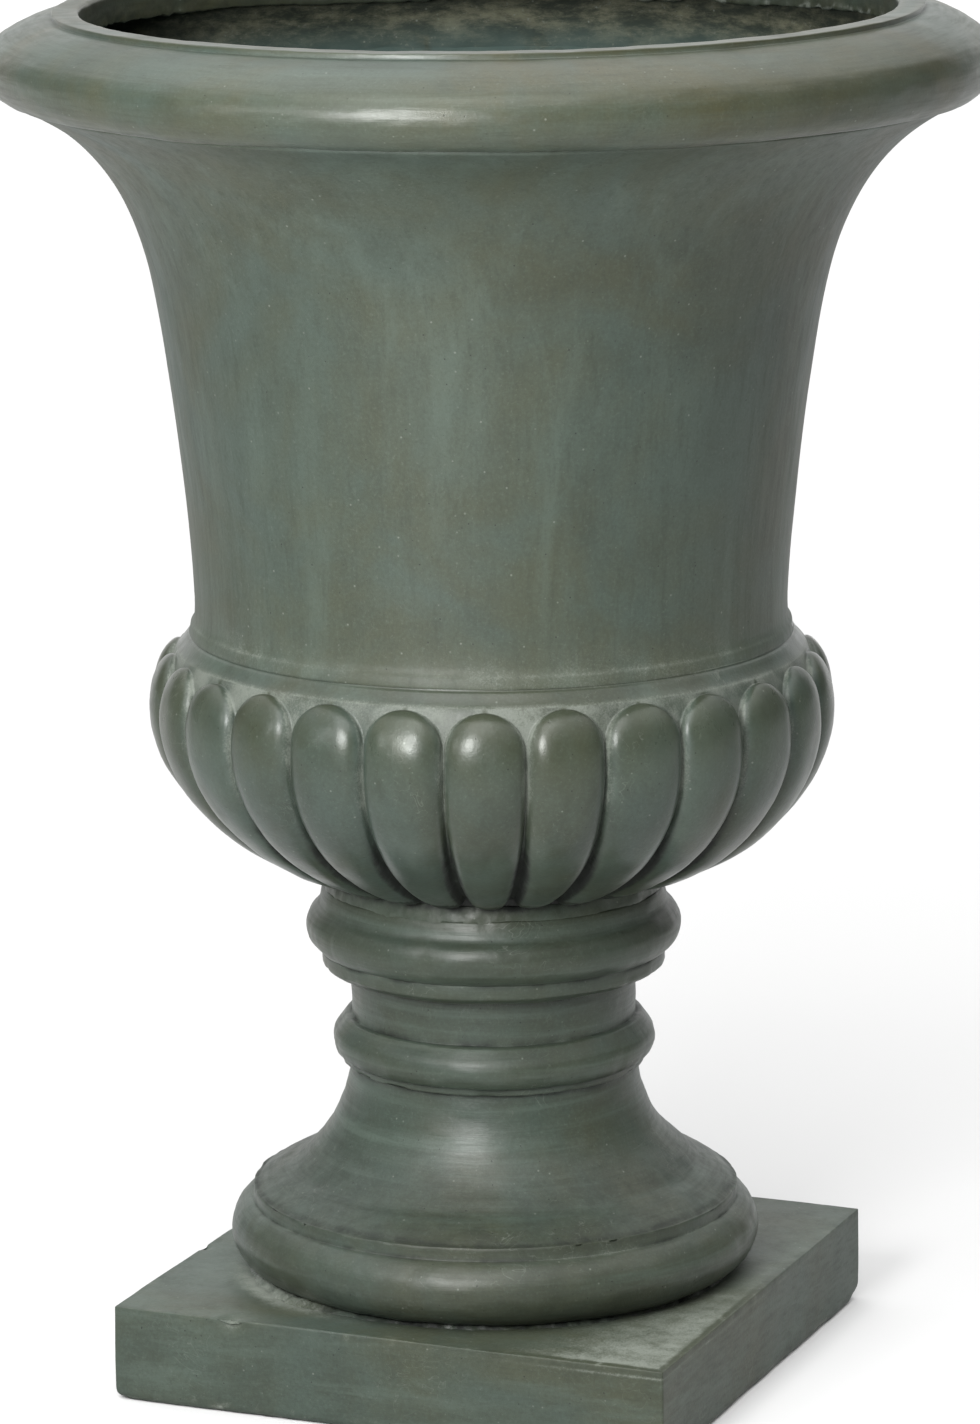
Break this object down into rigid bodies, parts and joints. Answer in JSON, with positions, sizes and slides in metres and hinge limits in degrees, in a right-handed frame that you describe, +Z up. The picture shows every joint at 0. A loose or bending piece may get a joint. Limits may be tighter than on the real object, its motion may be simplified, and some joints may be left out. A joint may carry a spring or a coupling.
{
  "type": "urn planter",
  "caption": "Free-standing urn planter: square plinth, turned foot, gadrooned bowl, flared bell and rolled rim, with a plugged drain on its axis.",
  "frame": {"origin": "centre of the plinth's underside, on the urn's axis", "axes": "+Z up along the urn's axis; X and Y square to the plinth's sides"},
  "size_m": [0.5042, 0.504, 0.7003],
  "materials": {
    "painted_moulding": "satin hand-brushed grey-green paint on fibre-clay",
    "bedding": "matt, crumbly bedding paste",
    "galvanised_steel": "galvanised",
    "rubber": "matt moulded rubber"
  },
  "bodies": {
    "urn": {"plinth": "painted_moulding", "pedestal": "painted_moulding", "bowl": "painted_moulding", "bell": "painted_moulding", "rim": "painted_moulding", "plinth_bed": "bedding", "neck_bed": "bedding", "bell_bed": "bedding", "rim_bed": "bedding", "drain_tube": "galvanised_steel", "foot_washer": "galvanised_steel", "foot_nut": "galvanised_steel", "floor_seal": "rubber"},
    "plug": {"drain_plug": "rubber"}
  },
  "joints": [
    {"name": "plug_lift", "type": "slide", "parent": "urn", "child": "plug", "axis": [0, 0, 1], "range_m": [0, 0.47]}
  ]
}
